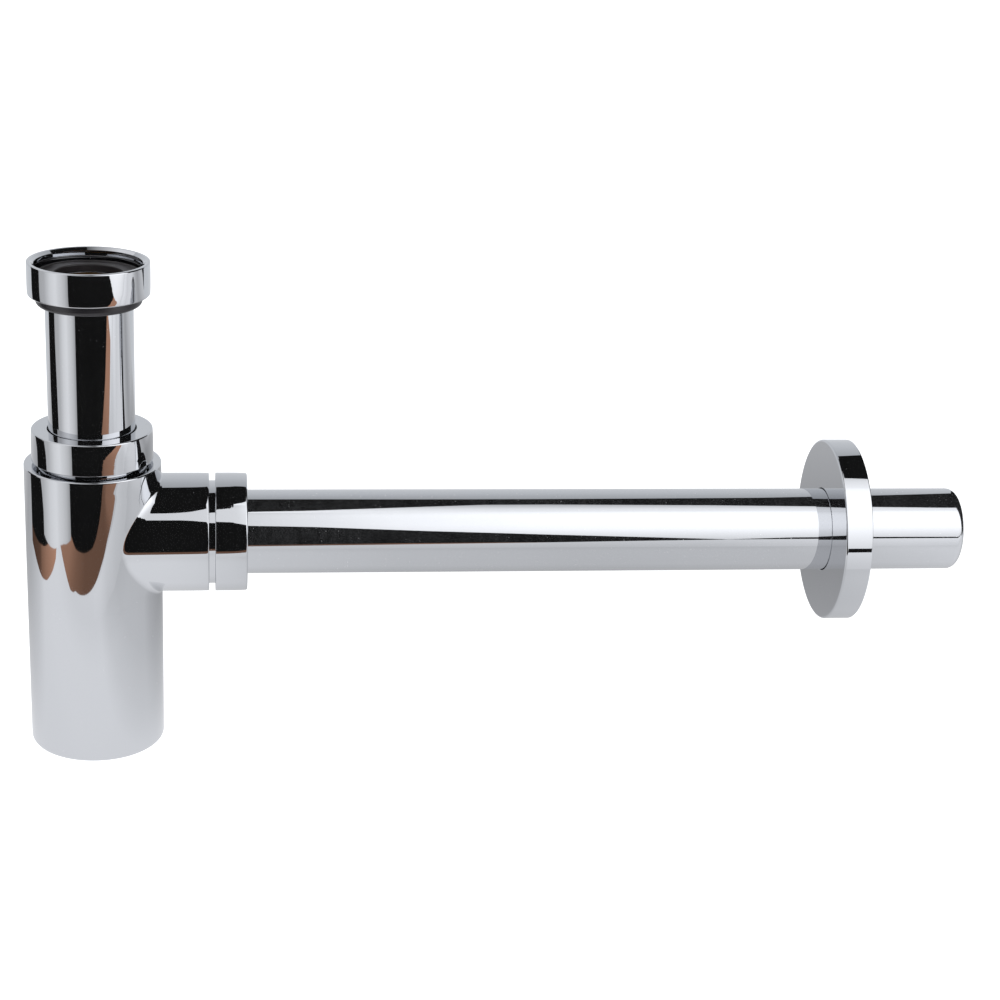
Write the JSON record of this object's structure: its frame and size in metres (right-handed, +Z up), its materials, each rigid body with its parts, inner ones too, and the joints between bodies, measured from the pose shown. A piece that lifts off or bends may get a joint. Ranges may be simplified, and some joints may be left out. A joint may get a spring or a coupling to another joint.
{
  "type": "bottle trap",
  "caption": "Chromed bottle trap for a basin: inlet tube with union nut, round bottle with side branch, wall pipe and round wall rosette.",
  "frame": {"origin": "on the bottle's axis, on the top face of the inlet washer, where the waste tail of the basin seats", "axes": "+Z up into the basin waste, +X along the outlet pipe to the wall, +Y to the left of someone looking along the pipe to the wall"},
  "size_m": [0.3628, 0.0708, 0.1899],
  "materials": {
    "polished_chrome": "mirror-polished chrome plate on brass",
    "washer_rubber": "smooth black rubber with a soft sheen",
    "seal_rubber": "matt black rubber",
    "bush_plastic": "smooth black plastic",
    "slip_ring_plastic": "plain white plastic",
    "dip_tube_plastic": "plain white moulded plastic"
  },
  "bodies": {
    "bottle": {"trap_body": "polished_chrome", "dip_tube": "dip_tube_plastic", "dip_tube_gasket": "seal_rubber"},
    "collar_seal": {"collar_cone_seal": "seal_rubber"},
    "inlet_tube": {"inlet_tube": "polished_chrome", "inlet_washer": "washer_rubber"},
    "inlet_bush": {"inlet_slip_ring": "bush_plastic"},
    "inlet_nut": {"inlet_nut": "polished_chrome"},
    "collar_ring": {"collar_slip_ring": "slip_ring_plastic"},
    "collar_nut": {"collar_nut": "polished_chrome"},
    "outlet_seal": {"outlet_cone_seal": "seal_rubber"},
    "outlet_pipe": {"outlet_pipe": "polished_chrome"},
    "rosette_grip": {"rosette_grip_ring": "seal_rubber"},
    "rosette": {"wall_rosette": "polished_chrome"},
    "outlet_ring": {"outlet_slip_ring": "slip_ring_plastic"},
    "outlet_nut": {"outlet_nut": "polished_chrome"}
  },
  "joints": [
    {"name": "tube_swivel", "type": "hinge", "parent": "bottle", "child": "collar_seal", "pos_m": [0, 0, -0.063], "axis": [0, 0, 1], "continuous": true},
    {"name": "tube_height", "type": "slide", "parent": "collar_seal", "child": "inlet_tube", "axis": [0, 0, 1], "range_m": [-0.025, 0.035]},
    {"name": "inlet_nut_slide", "type": "slide", "parent": "inlet_tube", "child": "inlet_bush", "axis": [0, 0, 1], "range_m": [-0.01, 0]},
    {"name": "inlet_nut_turn", "type": "hinge", "parent": "inlet_bush", "child": "inlet_nut", "pos_m": [0, 0, 0], "axis": [0, 0, 1], "continuous": true},
    {"name": "collar_nut_rise", "type": "slide", "parent": "bottle", "child": "collar_ring", "axis": [0, 0, 1], "range_m": [0, 0.0045]},
    {"name": "collar_nut_turn", "type": "hinge", "parent": "collar_ring", "child": "collar_nut", "pos_m": [0, 0, -0.065], "axis": [0, 0, 1], "range_deg": [0, 1080]},
    {"name": "pipe_swivel", "type": "hinge", "parent": "bottle", "child": "outlet_seal", "pos_m": [0.053, 0, -0.1008], "axis": [1, 0, 0], "continuous": true},
    {"name": "pipe_reach", "type": "slide", "parent": "outlet_seal", "child": "outlet_pipe", "axis": [1, 0, 0], "range_m": [-0.01, 0.008]},
    {"name": "rosette_slide", "type": "slide", "parent": "outlet_pipe", "child": "rosette_grip", "axis": [1, 0, 0], "range_m": [-0.19, 0.03]},
    {"name": "rosette_turn", "type": "hinge", "parent": "rosette_grip", "child": "rosette", "pos_m": [0.2885, 0, -0.1008], "axis": [1, 0, 0], "continuous": true},
    {"name": "outlet_nut_travel", "type": "slide", "parent": "bottle", "child": "outlet_ring", "axis": [1, 0, 0], "range_m": [0, 0.0045]},
    {"name": "outlet_nut_turn", "type": "hinge", "parent": "outlet_ring", "child": "outlet_nut", "pos_m": [0.0514, 0, -0.1008], "axis": [1, 0, 0], "range_deg": [0, 1080]}
  ],
  "couplings": [
    {"joint": "collar_nut_rise", "follows": "collar_nut_turn", "m_per_rad": 0.00023873},
    {"joint": "outlet_nut_travel", "follows": "outlet_nut_turn", "m_per_rad": 0.00023873}
  ]
}
